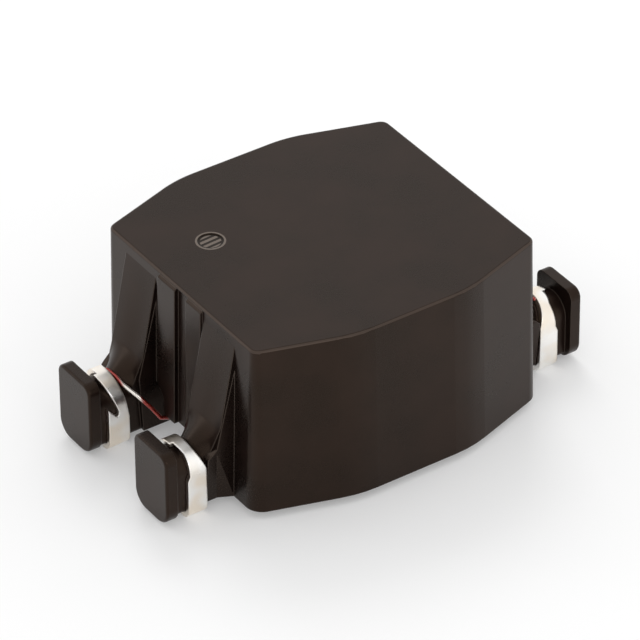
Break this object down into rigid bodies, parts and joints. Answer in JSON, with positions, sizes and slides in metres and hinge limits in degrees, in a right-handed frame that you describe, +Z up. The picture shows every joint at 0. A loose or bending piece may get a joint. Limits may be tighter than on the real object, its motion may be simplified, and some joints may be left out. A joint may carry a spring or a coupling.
{
  "type": "surface-mount common mode choke",
  "caption": "Low black eight-sided inductor cap over a wound ferrite ring, with leaning legs and tinned bands on posts at each end for soldering to a circuit board.",
  "frame": {"origin": "middle of the part, in the plane of the undersides of the four tinned bands", "axes": "+X along the part from one pair of posts to the other, +Y across it towards the side with the orientation mark, +Z up from the circuit board"},
  "size_m": [0.0092, 0.0062, 0.0037],
  "materials": {
    "moulding": "matt moulded, slightly warm black",
    "ferrite": "sintered, dark grey",
    "adhesive": "cured, milky",
    "enamelled_wire": "copper red enamel, glossy",
    "tin": "dipped tin, bright"
  },
  "bodies": {
    "root": {"housing": "moulding", "ferrite_core": "ferrite", "adhesive": "adhesive", "winding_1": "enamelled_wire", "winding_2": "enamelled_wire", "terminal_1": "tin", "terminal_2": "tin", "terminal_3": "tin", "terminal_4": "tin"}
  },
  "joints": []
}
